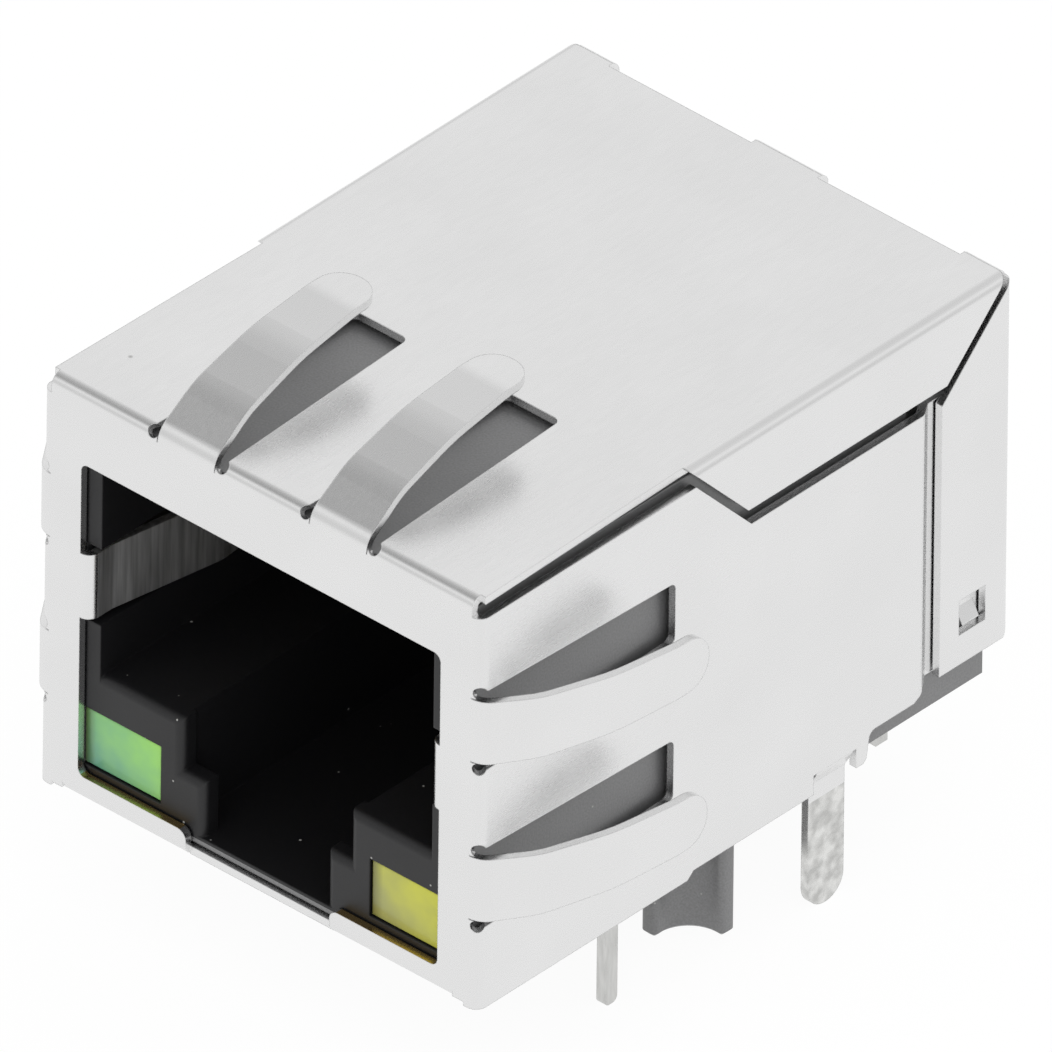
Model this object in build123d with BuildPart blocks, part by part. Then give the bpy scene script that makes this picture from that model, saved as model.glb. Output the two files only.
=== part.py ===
from build123d import *
import os

# A shielded board jack for an eight-way network plug, latch side down, with two lamps
# in its lower corners and its own filter magnetics behind the port.
# X runs across the port, Y into the depth and Z up from the board.
# The origin lies on the board, midway between the two locating pegs.

# Sheet of the shield and its play round the housing
sheet = 0.25
bend_inside = 0.1
skin_gap = 0.2
front_gap = 0.05
rear_gap = 0.37

# Board datum: how far the pegs stand behind the shield's front, and apart
peg_setback = 10.8
peg_pitch = 11.43

# Plug cavity of the housing, and the throat and room for the plug's latch
cavity_half_width = 6.0
cavity_floor = 4.1
cavity_height = 6.9
cavity_depth = 11.4
latch_half_width = 3.03
latch_stop_top = 2.4
latch_throat_half_width = 2.22
latch_stop_depth = 0.6
latch_room_half_width = 3.15
latch_floor = 0.6

# Walls of the housing
cavity_wall = 1.5
housing_roof = 1.05
lintel_depth = 1.0
partition = 0.9
waist_step = 0.3
waist_clearance = 0.2
chamber_wall = 0.7
chamber_roof = 0.65
pocket_edge_round = 0.25
rail_top = 1.4
foot_width = 4.0
foot_length = 3.0

# Port opening in the shield's front wall
port_margin = 0.5
port_sill = 0.8
port_corner = 0.25
latch_notch_half_width = 2.6
latch_notch_corner = 0.3

# Folded flange under the front wall
flange_inset = 0.9
flange_reach = 1.8
notch_strip_setback = 0.2
flange_relief_width = 0.4
flange_relief_height = 0.12

# Contact fingers that press on the panel cut-out, two on top and two on each side
top_finger_offset = 2.75
side_finger_low = 3.95
side_finger_high = 9.1
finger_root_width = 2.05
finger_tip_width = 1.64
finger_length = 6.95
finger_shoulder = -0.05
finger_root_overlap = 0.9
finger_root_bend = 0.6
finger_heel = 1.45
finger_heel_rise = 1.0
finger_heel_bend = 2.5
finger_knee = 3.6
finger_knee_rise = 1.68
finger_knee_bend = 6.0
finger_crest = 5.8
finger_rise = 1.95
finger_crest_bend = 3.0
tip_roundness = 0.49
window_length = 7.75
window_half_front = 1.3
window_half_back = 0.98
window_corner = 0.22
root_hole_offset = 1.23
root_hole_radius = 0.2
root_gap = 0.03

# Lid edges, side flaps and rear panel
lid_lip = 2.0
lid_gap = 0.31
lid_inset_front = 0.17
seam_gap = 0.5
flap_seam_gap = 0.35
flap_start = 8.35
flap_slant = 2.28
flap_drop = 2.4
mitre_setback = 0.25
mitre_gap = 0.4
bridge_half_width = 1.2
bridge_inset = 1.6
rear_slit_depth = 0.42
rear_slit_height = 0.5
wing_length = 2.83
wing_bottom = 1.5
wing_corner = 0.3

# Side wall tail, jogged inwards under the rear wing
jog_setback = 0.75
jog_length = 0.45
jog_gap = 0.05
tail_end_gap = 0.55
tail_bottom = 1.55
tail_front_bottom = 1.15

# Lower edge of the side wall
step_start = 8.35
step_end = 8.6
step_rise = 0.22
lug_length = 1.25
lug_corner = 0.25

# Latch hook of the side wall in the wing's window
hook_window_setback = 1.02
hook_window_length = 1.05
hook_window_bottom = 2.47
hook_window_height = 1.13
hook_margin = 0.2

# Solder tabs of the shield
tab_setback = 14.2
tab_width = 1.42
tab_tip = 3.85
tab_jog = 0.3
tab_jog_top = 0.85
tab_jog_bottom = 0.3
tab_root_top = 1.5
tab_relief_width = 0.14
tab_pocket_clearance = 0.15
tab_pocket_margin = 0.35
tab_pocket_top = 1.8

# Ground springs bent back from the sides of the port
ground_spring_rise = 1.85
ground_spring_height = 2.1
ground_spring_inset = 0.25
ground_spring_touch = 0.38
ground_spring_end = 0.15
ground_spring_straight = 0.9
ground_spring_touch_depth = 4.6
ground_spring_length = 7.4
ground_spring_bend = 1.0
spring_slot_margin = 0.2
spring_slot_recess = 0.7
spring_slot_clearance = 0.8

# Locating pegs: four rounded ribs round a core with hollow sides
peg_radius = 1.55
peg_core_radius = 0.78
peg_scallop_radius = 0.98
peg_rib_round = 0.18
peg_length = 3.35
peg_point = 0.12

# Comb that parts the contacts' free ends
comb_length = 1.9
comb_height = 3.1
comb_edge = 0.74
comb_slot = 0.56
comb_sill = 0.35

# Contacts
contact_count = 8
contact_pitch = 1.016
contact_width = 0.36
contact_thickness = 0.3
contact_recess = 0.08
contact_nose_gap = 0.2
contact_nose_bend = 0.32
contact_drop = 0.18
contact_reach = 2.25
contact_lift = 0.23
contact_tip_clearance = 1.2
contact_stub = 0.4

# Contact carrier: a moulded tray that closes the top of the port
carrier_height = 0.85
carrier_edge = 1.36
carrier_setback = 0.8
carrier_overhang = 1.3
carrier_clearance = 0.05
groove_clearance = 0.03

# Filter board, upright behind the port
board_standoff = 1.9
board_thickness = 0.8
board_side_clearance = 0.3
board_top_clearance = 0.15
board_seat = 1.3
board_hole_clearance = 0.06

# Base that carries the signal pins
base_front_clearance = 0.4
base_side_clearance = 0.1
base_top = 2.3
base_clearance = 0.05

# Signal pins in two staggered rows
pin_count = 8
pin_pitch = 1.27
pin_side = 0.46
pin_tip = 3.05
pin_head = 3.6
pin_setback = 2.15
pin_row_pitch = 2.54
pin_rear_margin = 0.84
pin_clearance = 0.02
pin_point = 0.1

# Lamps behind the windows in the lower corners
lamp_overlap = 0.1
lamp_width = 2.83
lamp_bottom = 1.0
lamp_top = 2.88
lamp_nose_depth = 1.6
lamp_body_outer_step = 0.4
lamp_body_inner_step = 0.15
lamp_body_bottom = 0.6
lamp_body_top = 3.1
lamp_rear = 6.0
lamp_recess = 0.05
lamp_clearance = 0.04
lead_setback = 0.74
lead_inset = 0.24
lead_pitch = 2.54
lead_width = 0.3
lead_depth = 0.5
lead_tip = 3.8
lead_level = 1.9
lead_grip = 1.5
lead_bend = 0.35
lead_tip_round = 0.2
lead_room = 1.4

# Ring cores and their windings behind the board
core_radius = 1.7
core_bore = 0.9
core_thickness = 1.3
core_offset = 2.5
core_headroom = 2.95
core_spacing = 4.5
winding_thickness = 0.22
winding_clearance = 0.02
winding_sweep = 300

# Chip parts on the board's front
resistor_count = 4
resistor_length = 1.6
resistor_width = 0.8
resistor_height = 0.45
resistor_pitch = 2.2
resistor_drop = 2.6
capacitor_length = 4.5
capacitor_width = 2.0
capacitor_height = 1.4
capacitor_rise = 4.3
chip_edge = 0.08

# Across: the cavity sets the housing, and the housing sets the shield
housing_half_width = cavity_half_width + cavity_wall
waist_half_width = housing_half_width - waist_step
chamber_half_width = waist_half_width - chamber_wall
side_x = housing_half_width + skin_gap + sheet
width = 2 * side_x
port_half_width = cavity_half_width + port_margin
flange_half_width = side_x - flange_inset
bridge_outer = side_x - bridge_inset
spring_slot_half_width = cavity_half_width + spring_slot_recess
tab_pocket_half_width = side_x - sheet - tab_jog - tab_pocket_clearance
board_half_width = chamber_half_width - board_side_clearance
base_half_width = chamber_half_width - base_side_clearance
contact_xs = [(i - (contact_count - 1) / 2) * contact_pitch for i in range(contact_count)]
comb_half_width = contact_xs[-1] + comb_edge
carrier_half_width = contact_xs[-1] + contact_width / 2 + carrier_edge
lamp_outer = port_half_width + lamp_overlap
lamp_inner = lamp_outer - lamp_width
lamp_centre = (lamp_inner + lamp_outer) / 2
lamp_body_outer = lamp_outer + lamp_body_outer_step
lamp_body_inner = lamp_inner - lamp_body_inner_step
lamp_body_centre = (lamp_body_inner + lamp_body_outer) / 2
lamp_body_width = lamp_body_outer - lamp_body_inner
lead_inner = lamp_inner + lead_inset

# Upwards from the board: the port, the carrier over it and the roof
port_top = cavity_floor + cavity_height
carrier_top = port_top + carrier_height
housing_bottom = sheet + front_gap
housing_top = carrier_top + housing_roof
height = housing_top + skin_gap + sheet
chamber_top = housing_top - chamber_roof
board_top = chamber_top - board_top_clearance
wall_level = height - sheet - lid_gap
flap_bottom = height - flap_drop
seam_level = flap_bottom - seam_gap
comb_bottom = port_top - comb_height
contact_level = carrier_top - contact_recess - contact_thickness / 2
contact_turn_level = port_top - contact_drop
contact_tip_level = port_top - contact_reach
ground_spring_bottom = cavity_floor + ground_spring_rise
core_high = chamber_top - core_headroom
core_low = core_high - core_spacing
resistor_level = board_top - resistor_drop
capacitor_level = board_seat + capacitor_rise

# Back from the shield's front: the port, the board, the pins and the rear panel
housing_front = sheet + front_gap
carrier_front = housing_front + lintel_depth + carrier_setback
contact_nose = carrier_front - contact_nose_gap - contact_thickness / 2
comb_front = cavity_depth - comb_length
contact_tip_depth = cavity_depth - contact_tip_clearance
chamber_front = cavity_depth + partition
carrier_rear = chamber_front + carrier_overhang
base_front = chamber_front + base_front_clearance
board_front = chamber_front + board_standoff
board_rear = board_front + board_thickness
contact_tail = board_rear + contact_stub
core_front = board_rear + winding_thickness + winding_clearance
pin_first_row = board_rear + pin_setback
housing_rear = pin_first_row + pin_row_pitch + pin_rear_margin
depth = housing_rear + rear_gap + sheet
wing_front = depth - wing_length
jog_start = wing_front - jog_setback
jog_end = jog_start + jog_length
waist_depth = jog_start - waist_clearance
tail_end = depth - tail_end_gap
hook_window_back = depth - hook_window_setback
hook_window_front = hook_window_back - hook_window_length
hook_window_top = hook_window_bottom + hook_window_height
flap_lower_start = flap_start + flap_slant
seam_start = flap_start - flap_seam_gap
seam_corner = seam_start + (height - seam_level) * flap_slant / flap_drop
mitre_foot = depth - flap_drop - mitre_setback
wing_top = flap_bottom + wing_front - mitre_foot - mitre_gap
lug_back = tab_setback + lug_length
lead_place = lamp_rear + lead_setback
lead_slot_rear = lamp_rear + lead_room
spring_slot_depth = ground_spring_length + spring_slot_clearance

# Bends of the sheet
bend_middle = bend_inside + sheet / 2
bend_outside = bend_inside + sheet
half_sheet = sheet / 2
front_y = -peg_setback

# Views with their local origin on the board under the front face, so that every
# depth is counted back from the shield's front
front_view = Plane((0, front_y, 0), x_dir=(1, 0, 0), z_dir=(0, -1, 0))
side_view = Plane((0, front_y, 0), x_dir=(0, 1, 0), z_dir=(1, 0, 0))
plan_view = Plane((0, front_y, 0), x_dir=(1, 0, 0), z_dir=(0, 0, 1))


def strip(*points, radii=bend_middle, thickness=sheet):
    """Section of a strip folded along the points of its middle line."""
    with BuildLine() as middle:
        FilletPolyline(*points, radius=radii)
    with BuildSketch() as section:
        trace(middle.line, line_width=thickness)
    return section.sketch


def channel(span, reach):
    """Section of the sheet bent twice: closed across local y = 0, open at y = reach."""
    half = span / 2 - half_sheet
    return strip((-half, reach), (-half, half_sheet), (half, half_sheet), (half, reach))


def finger():
    """One arched contact finger: x runs back from the front wall, z out from the panel."""
    with BuildPart() as blade:
        with BuildSketch(Plane.XZ):
            add(strip(
                (half_sheet, -finger_root_overlap),
                (half_sheet, finger_shoulder),
                (finger_heel, finger_heel_rise - half_sheet),
                (finger_knee, finger_knee_rise - half_sheet),
                (finger_crest, finger_rise - half_sheet),
                (finger_length, finger_rise - half_sheet),
                radii=[finger_root_bend, finger_heel_bend, finger_knee_bend,
                       finger_crest_bend],
            ))
        extrude(amount=finger_root_width / 2, both=True)
        # Narrower towards the tip
        with BuildSketch():
            Polygon(
                (-sheet, -finger_root_width / 2),
                (finger_length, -finger_tip_width / 2),
                (finger_length, finger_tip_width / 2),
                (-sheet, finger_root_width / 2),
                align=None,
            )
        extrude(amount=finger_rise, both=True, mode=Mode.INTERSECT)
        tip = blade.faces().sort_by(Axis.X)[-1]
        fillet(tip.edges().filter_by(Axis.Z), finger_tip_width * tip_roundness)
    return blade.part


def finger_window():
    """What is cut away for a finger: its window, its root holes and the bend it replaces."""
    with BuildPart() as window:
        with BuildSketch() as outline:
            Polygon(
                (half_sheet, -window_half_front),
                (window_length, -window_half_back),
                (window_length, window_half_back),
                (half_sheet, window_half_front),
                align=None,
            )
            fillet(outline.vertices().group_by(Axis.X)[-1], window_corner)
        extrude(amount=sheet + skin_gap / 2, both=True)
        for across in (-root_hole_offset, root_hole_offset):
            with BuildSketch(Plane((0, across, 0), x_dir=(0, 1, 0), z_dir=(-1, 0, 1))):
                Circle(root_hole_radius)
            extrude(amount=2 * bend_outside, both=True)
        with BuildSketch(Plane.XZ):
            with Locations((bend_outside / 2, -bend_outside / 2)):
                Rectangle(bend_outside, bend_outside)
        extrude(amount=finger_root_width / 2 + root_gap, both=True)
    return window.part


def lid():
    """Lid with its bends down to the front wall and the rear panel."""
    along = Plane((0, front_y + depth / 2, height), x_dir=(0, 1, 0), z_dir=(-1, 0, 0))
    with BuildPart() as top:
        with BuildSketch(along):
            add(channel(depth, lid_lip))
        extrude(amount=side_x, both=True)
        # Its free edges taper back to the width left where the flaps fold down
        narrow = side_x - bend_outside
        right = [(narrow, 0), (narrow, bend_outside), (side_x - lid_inset_front, bend_outside),
                 (narrow, flap_start), (narrow, depth)]
        with BuildSketch(plan_view.offset(height - lid_lip)):
            Polygon(*right, *[(-x, y) for x, y in reversed(right)], align=None)
        extrude(amount=lid_lip, mode=Mode.INTERSECT)
    return top.part


def side_flaps():
    """Both flaps folded down from the lid's edges, mitred against the rear wings."""
    drop = height - flap_bottom
    rear_facing = Plane((0, front_y + flap_start, height), x_dir=(1, 0, 0), z_dir=(0, 1, 0))
    with BuildPart() as flaps:
        with BuildSketch(rear_facing):
            add(channel(width, drop))
        extrude(amount=depth - flap_start)
        with BuildSketch(side_view):
            Polygon(
                (flap_start, height),
                (flap_lower_start, flap_bottom),
                (mitre_foot, flap_bottom),
                (mitre_foot + drop, height),
                align=None,
            )
        extrude(amount=side_x, both=True, mode=Mode.INTERSECT)
    return flaps.part


def rear_wings():
    """Rear panel's lower part with both side wings, mitred against the flaps."""
    rear_corner = Plane((0, front_y + depth, wing_bottom), x_dir=(-1, 0, 0), z_dir=(0, 0, 1))
    panel_top = height - sheet
    with BuildPart() as wings:
        with BuildSketch(rear_corner):
            add(channel(width, depth - wing_front))
        extrude(amount=panel_top - wing_bottom)
        with BuildSketch(side_view):
            Polygon(
                (wing_front, wing_bottom),
                (wing_front, wing_top),
                (wing_front + panel_top - wing_top, panel_top),
                (depth, panel_top),
                (depth, wing_bottom + wing_corner),
                (depth - wing_corner, wing_bottom),
                align=None,
            )
        extrude(amount=side_x, both=True, mode=Mode.INTERSECT)
        # Windows in which the side walls' hooks latch
        with BuildSketch(side_view):
            with Locations((hook_window_front, hook_window_bottom)):
                Rectangle(
                    hook_window_back - hook_window_front,
                    hook_window_top - hook_window_bottom,
                    align=Align.MIN,
                )
        extrude(amount=side_x, both=True, mode=Mode.SUBTRACT)
    return wings.part


def board_tab():
    """Right-hand solder tab: jogged inwards from the side wall, its tip fully rounded."""
    wall = side_x - half_sheet
    with BuildPart() as tab:
        with BuildSketch(front_view.offset(-(tab_setback - tab_width / 2))):
            add(strip(
                (wall, tab_root_top),
                (wall, tab_jog_top),
                (wall - tab_jog, tab_jog_bottom),
                (wall - tab_jog, -tab_tip),
            ))
        extrude(amount=-tab_width)
        tip = tab.faces().sort_by(Axis.Z)[0]
        fillet(tip.edges().filter_by(Axis.X), tab_width * tip_roundness)
    return tab.part


def ground_spring():
    """Right-hand spring that touches the plug's screen, bent back from the port's edge."""
    root = port_half_width - ground_spring_inset
    with BuildPart() as spring:
        with BuildSketch(plan_view.offset(ground_spring_bottom)):
            add(strip(
                (port_half_width + bend_outside, half_sheet),
                (root, half_sheet),
                (root, ground_spring_straight),
                (cavity_half_width - ground_spring_touch, ground_spring_touch_depth),
                (cavity_half_width - ground_spring_end, ground_spring_length),
                radii=[bend_middle, ground_spring_bend, ground_spring_bend],
            ))
        extrude(amount=ground_spring_height)
    return spring.part


def wall_tail():
    """Right-hand tail of the side wall, jogged inwards to lie under the rear wing."""
    wall = side_x - half_sheet
    inner = wall - sheet - jog_gap
    with BuildPart() as tail:
        with BuildSketch(plan_view.offset(tail_front_bottom)):
            add(strip(
                (wall, jog_start - bend_outside),
                (wall, jog_start),
                (inner, jog_end),
                (inner, tail_end),
                radii=half_sheet,
            ))
        extrude(amount=seam_level - tail_front_bottom)
        with BuildSketch(front_view.offset(-(hook_window_front + hook_margin))):
            Polygon(
                (inner, hook_window_bottom + hook_margin),
                (side_x - jog_gap, hook_window_bottom + hook_margin),
                (inner, hook_window_top - hook_margin),
                align=None,
            )
        extrude(amount=-(hook_window_back - hook_window_front - 2 * hook_margin))
    return tail.part


def both_sides(right):
    """The right-hand piece with its mirror image on the left."""
    return right + mirror(right, about=Plane.YZ)


with BuildPart() as shield:
    # Front wall and side walls, one strip bent twice as seen from above
    with BuildSketch(plan_view):
        add(channel(width, jog_start))
    extrude(amount=wall_level)
    # The side walls stop short of the flaps
    with BuildSketch(side_view):
        Polygon(
            (seam_start, height),
            (seam_corner, seam_level),
            (depth, seam_level),
            (depth, height),
            align=None,
        )
    extrude(amount=side_x, both=True, mode=Mode.SUBTRACT)
    add(both_sides(wall_tail()))
    # Lower edge of the side walls, stepped up towards the rear
    with BuildSketch(side_view) as lower_edge:
        Polygon(
            (step_start, 0),
            (step_end, step_rise),
            (lug_back - half_sheet, step_rise),
            (lug_back, step_rise + half_sheet),
            (lug_back + half_sheet, tail_front_bottom),
            (jog_start - sheet, tail_front_bottom),
            (jog_end, tail_bottom),
            (depth, tail_bottom),
            (depth, 0),
            align=None,
        )
        inner_corner = (lug_back + half_sheet, tail_front_bottom)
        fillet(lower_edge.vertices().sort_by_distance(inner_corner)[0], lug_corner)
    extrude(amount=side_x, both=True, mode=Mode.SUBTRACT)
    # Bend under the front wall and the flange it leads to
    with BuildSketch(side_view):
        Rectangle(bend_outside, bend_outside, align=Align.MIN)
    extrude(amount=flange_half_width, both=True, mode=Mode.SUBTRACT)
    with BuildSketch(side_view):
        add(strip((half_sheet, port_sill), (half_sheet, half_sheet), (flange_reach, half_sheet)))
    extrude(amount=flange_half_width, both=True)
    with BuildSketch(front_view):
        with Locations(
            (flange_half_width + flange_relief_width / 2, 0),
            (-flange_half_width - flange_relief_width / 2, 0),
        ):
            Rectangle(flange_relief_width, 2 * flange_relief_height)
    extrude(amount=-bend_outside, mode=Mode.SUBTRACT)
    add(lid())
    add(side_flaps())
    add(rear_wings())
    # Slits that leave three bridges between the lid and the rear panel
    with BuildSketch(front_view.offset(-(depth - rear_slit_depth))):
        for side in (-1, 1):
            middle = side * (bridge_half_width + bridge_outer) / 2
            with Locations((middle, height - rear_slit_height / 2)):
                Rectangle(bridge_outer - bridge_half_width, rear_slit_height)
    extrude(amount=-rear_slit_depth, mode=Mode.SUBTRACT)
    # Port in the front wall, with the latch notch down to the flange
    with BuildSketch(front_view) as port:
        Polygon(
            (-port_half_width, port_sill),
            (-port_half_width, port_top),
            (port_half_width, port_top),
            (port_half_width, port_sill),
            (latch_notch_half_width, port_sill),
            (latch_notch_half_width, 0),
            (-latch_notch_half_width, 0),
            (-latch_notch_half_width, port_sill),
            align=None,
        )
        corners = port.vertices()
        bar_ends = corners.filter_by_position(Axis.Y, port_sill, port_sill)
        fillet(bar_ends.filter_by_position(
            Axis.X, -latch_notch_half_width, latch_notch_half_width), latch_notch_corner)
        fillet(port.vertices().filter_by(
            lambda v: abs(abs(v.X) - port_half_width) < half_sheet), port_corner)
    extrude(amount=-bend_outside, mode=Mode.SUBTRACT)
    # Under the notch the flange runs on flat, almost to the front
    with BuildSketch(plan_view):
        with Locations((0, notch_strip_setback)):
            Rectangle(2 * latch_notch_half_width, flange_reach - notch_strip_setback,
                      align=(Align.CENTER, Align.MIN))
    extrude(amount=sheet)
    add(both_sides(ground_spring()))
    # Contact fingers and their windows
    finger_seats = [
        Plane((x, front_y, height), x_dir=(0, 1, 0), z_dir=(0, 0, 1)).location
        for x in (-top_finger_offset, top_finger_offset)
    ]
    finger_seats += [
        Plane((side * side_x, front_y, z), x_dir=(0, 1, 0), z_dir=(side, 0, 0)).location
        for side in (-1, 1)
        for z in (side_finger_low, side_finger_high)
    ]
    with Locations(*finger_seats):
        add(finger_window(), mode=Mode.SUBTRACT)
    with Locations(*finger_seats):
        add(finger())
    # Solder tabs, each in its own slot of the side wall
    with BuildSketch(side_view):
        with Locations((tab_setback, 0)):
            Rectangle(tab_width + 2 * tab_relief_width, 2 * tab_jog_top)
    extrude(amount=side_x, both=True, mode=Mode.SUBTRACT)
    add(both_sides(board_tab()))
shield.part.label = "shield"


def peg_section():
    """Section of a locating peg: a round with four hollow sides."""
    reach = peg_core_radius + peg_scallop_radius
    with BuildSketch() as section:
        Circle(peg_radius)
        with PolarLocations(reach, 4, start_angle=45):
            Circle(peg_scallop_radius, mode=Mode.SUBTRACT)
        fillet(section.vertices(), peg_rib_round)
    return section.sketch


with BuildPart() as housing:
    # Outer block, slimmer at the waist where the side walls of the shield jog inwards
    with BuildSketch(plan_view.offset(housing_bottom)):
        with Locations((0, housing_front)):
            Rectangle(2 * housing_half_width, waist_depth - housing_front,
                      align=(Align.CENTER, Align.MIN))
            Rectangle(2 * waist_half_width, housing_rear - housing_front,
                      align=(Align.CENTER, Align.MIN))
    extrude(amount=housing_top - housing_bottom)
    # Low rails under the rear wings, as wide as the front
    with BuildSketch(plan_view.offset(housing_bottom)):
        with Locations((0, waist_depth)):
            Rectangle(2 * housing_half_width, housing_rear - waist_depth,
                      align=(Align.CENTER, Align.MIN))
    extrude(amount=rail_top - housing_bottom)
    # The lower front edge is round, to clear the shield's bend
    front_face = housing.faces().sort_by(Axis.Y)[0]
    fillet(front_face.edges().sort_by(Axis.Z)[0], bend_inside)
    # Front of the port: room for the plug and the throat for its latch
    with BuildSketch(front_view.offset(-housing_front)):
        Polygon(
            (-cavity_half_width, cavity_floor),
            (-cavity_half_width, port_top),
            (cavity_half_width, port_top),
            (cavity_half_width, cavity_floor),
            (latch_half_width, cavity_floor),
            (latch_half_width, latch_stop_top),
            (latch_throat_half_width, latch_stop_top),
            (latch_throat_half_width, latch_floor),
            (-latch_throat_half_width, latch_floor),
            (-latch_throat_half_width, latch_stop_top),
            (-latch_half_width, latch_stop_top),
            (-latch_half_width, cavity_floor),
            align=None,
        )
    extrude(amount=-latch_stop_depth, mode=Mode.SUBTRACT)
    front_rim = housing.faces().filter_by(Axis.Y).sort_by(Axis.Y)[0]
    port_rim = front_rim.inner_wires()[0].edges()
    ledge_edges = port_rim.filter_by(Axis.X).filter_by_position(
        Axis.Z, latch_stop_top, cavity_floor)
    stop_edges = port_rim.filter_by(Axis.Z).filter_by_position(
        Axis.X, -latch_half_width, latch_half_width)
    fillet(ledge_edges + stop_edges, pocket_edge_round)
    # Behind the latch stops the port widens
    with BuildSketch(front_view.offset(-(housing_front + latch_stop_depth))):
        with Locations((0, cavity_floor)):
            Rectangle(2 * cavity_half_width, port_top - cavity_floor,
                      align=(Align.CENTER, Align.MIN))
        with Locations((0, latch_floor)):
            Rectangle(2 * latch_room_half_width, cavity_floor - latch_floor,
                      align=(Align.CENTER, Align.MIN))
    extrude(amount=-(cavity_depth - housing_front - latch_stop_depth), mode=Mode.SUBTRACT)
    # Slot above the port for the contact carrier, from behind the lintel to the chamber
    with BuildSketch(front_view.offset(-(housing_front + lintel_depth))):
        with Locations((0, port_top)):
            Rectangle(2 * (carrier_half_width + carrier_clearance),
                      carrier_height + carrier_clearance,
                      align=(Align.CENTER, Align.MIN))
    extrude(amount=-(chamber_front - housing_front - lintel_depth), mode=Mode.SUBTRACT)
    # Chamber for the filter parts, open at the rear and underneath
    with BuildSketch(front_view.offset(-chamber_front)):
        Rectangle(2 * chamber_half_width, chamber_top, align=(Align.CENTER, Align.MIN))
    extrude(amount=-(housing_rear - chamber_front), mode=Mode.SUBTRACT)
    # Comb that keeps the contacts' free ends apart
    with BuildSketch(front_view.offset(-comb_front)):
        with Locations((0, comb_bottom)):
            Rectangle(2 * comb_half_width, comb_height, align=(Align.CENTER, Align.MIN))
    extrude(amount=-(cavity_depth - comb_front))
    with BuildSketch(front_view.offset(-comb_front)):
        with Locations(*[(x, comb_bottom + comb_sill) for x in contact_xs]):
            Rectangle(comb_slot, comb_height - comb_sill, align=(Align.CENTER, Align.MIN))
    extrude(amount=-(cavity_depth - comb_front), mode=Mode.SUBTRACT)
    # Slots in which the ground springs lie
    with BuildSketch(front_view.offset(-housing_front)):
        with Locations((0, ground_spring_bottom + ground_spring_height / 2)):
            Rectangle(2 * spring_slot_half_width, ground_spring_height + 2 * spring_slot_margin)
    extrude(amount=-(spring_slot_depth - housing_front), mode=Mode.SUBTRACT)
    for side in (-1, 1):
        # Tunnel for the lamp: a window in front and a wider room behind it
        with BuildSketch(front_view.offset(-housing_front)):
            with Locations((side * lamp_centre, lamp_bottom)):
                Rectangle(lamp_outer - lamp_inner, lamp_top - lamp_bottom,
                          align=(Align.CENTER, Align.MIN))
        extrude(amount=-(lamp_nose_depth - housing_front), mode=Mode.SUBTRACT)
        with BuildSketch(front_view.offset(-lamp_nose_depth)):
            with Locations((side * lamp_body_centre, lamp_body_bottom)):
                Rectangle(lamp_body_width, lamp_body_top - lamp_body_bottom,
                          align=(Align.CENTER, Align.MIN))
        extrude(amount=-(lead_slot_rear - lamp_nose_depth), mode=Mode.SUBTRACT)
        # Behind the lamp the room is open downwards for the leads
        with BuildSketch(plan_view):
            with Locations((side * lamp_body_centre, lead_slot_rear)):
                Rectangle(lamp_body_width, lead_slot_rear - lamp_rear,
                          align=(Align.CENTER, Align.MAX))
        extrude(amount=lamp_body_top, mode=Mode.SUBTRACT)
        # Pocket that clears the shield's solder tab
        with BuildSketch(side_view.offset(side * tab_pocket_half_width)):
            with Locations((tab_setback, 0)):
                Rectangle(tab_width + 2 * tab_pocket_margin, tab_pocket_top,
                          align=(Align.CENTER, Align.MIN))
        extrude(amount=side * (side_x - tab_pocket_half_width), mode=Mode.SUBTRACT)
        # Locating peg
        with BuildSketch(Plane.XY.offset(housing_bottom)):
            with Locations((side * peg_pitch / 2, 0)):
                add(peg_section())
        extrude(amount=-(housing_bottom + peg_length))
    peg_ends = housing.faces().sort_by(Axis.Z)[:2]
    chamfer(peg_ends.edges(), peg_point)
    # Foot on which the housing stands on the board
    with BuildSketch():
        Rectangle(foot_width, foot_length)
    extrude(amount=housing_bottom)
housing.part.label = "housing"

with BuildPart() as contact_carrier:
    with BuildSketch(plan_view.offset(port_top)):
        with Locations((0, carrier_front)):
            Rectangle(2 * carrier_half_width, carrier_rear - carrier_front,
                      align=(Align.CENTER, Align.MIN))
    extrude(amount=carrier_height)
    # One groove for each contact
    groove_floor = contact_level - contact_thickness / 2
    with BuildSketch(front_view.offset(-carrier_front)):
        with Locations(*[(x, groove_floor) for x in contact_xs]):
            Rectangle(contact_width + 2 * groove_clearance, carrier_top - groove_floor,
                      align=(Align.CENTER, Align.MIN))
    extrude(amount=-(carrier_rear - carrier_front), mode=Mode.SUBTRACT)
contact_carrier.part.label = "contact_carrier"


def contact(x):
    """One contact: back over the carrier, round its front edge and down into the port."""
    with BuildPart() as wire:
        with BuildSketch(side_view.offset(x)):
            add(strip(
                (contact_tail, contact_level),
                (contact_nose, contact_level),
                (contact_nose, contact_turn_level),
                (comb_front, contact_tip_level + contact_lift),
                (contact_tip_depth, contact_tip_level),
                radii=[contact_nose_bend, contact_nose_bend, contact_width],
                thickness=contact_thickness,
            ))
        extrude(amount=contact_width / 2, both=True)
    return wire.part


contacts = [contact(x) for x in contact_xs]

with BuildPart() as filter_board:
    with BuildSketch(front_view.offset(-board_front)):
        with Locations((0, board_seat)):
            Rectangle(2 * board_half_width, board_top - board_seat,
                      align=(Align.CENTER, Align.MIN))
        # Holes for the contacts' tails
        with Locations(*[(x, contact_level) for x in contact_xs]):
            Rectangle(contact_width + 2 * board_hole_clearance,
                      contact_thickness + 2 * board_hole_clearance, mode=Mode.SUBTRACT)
    extrude(amount=-board_thickness)
filter_board.part.label = "filter_board"

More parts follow.
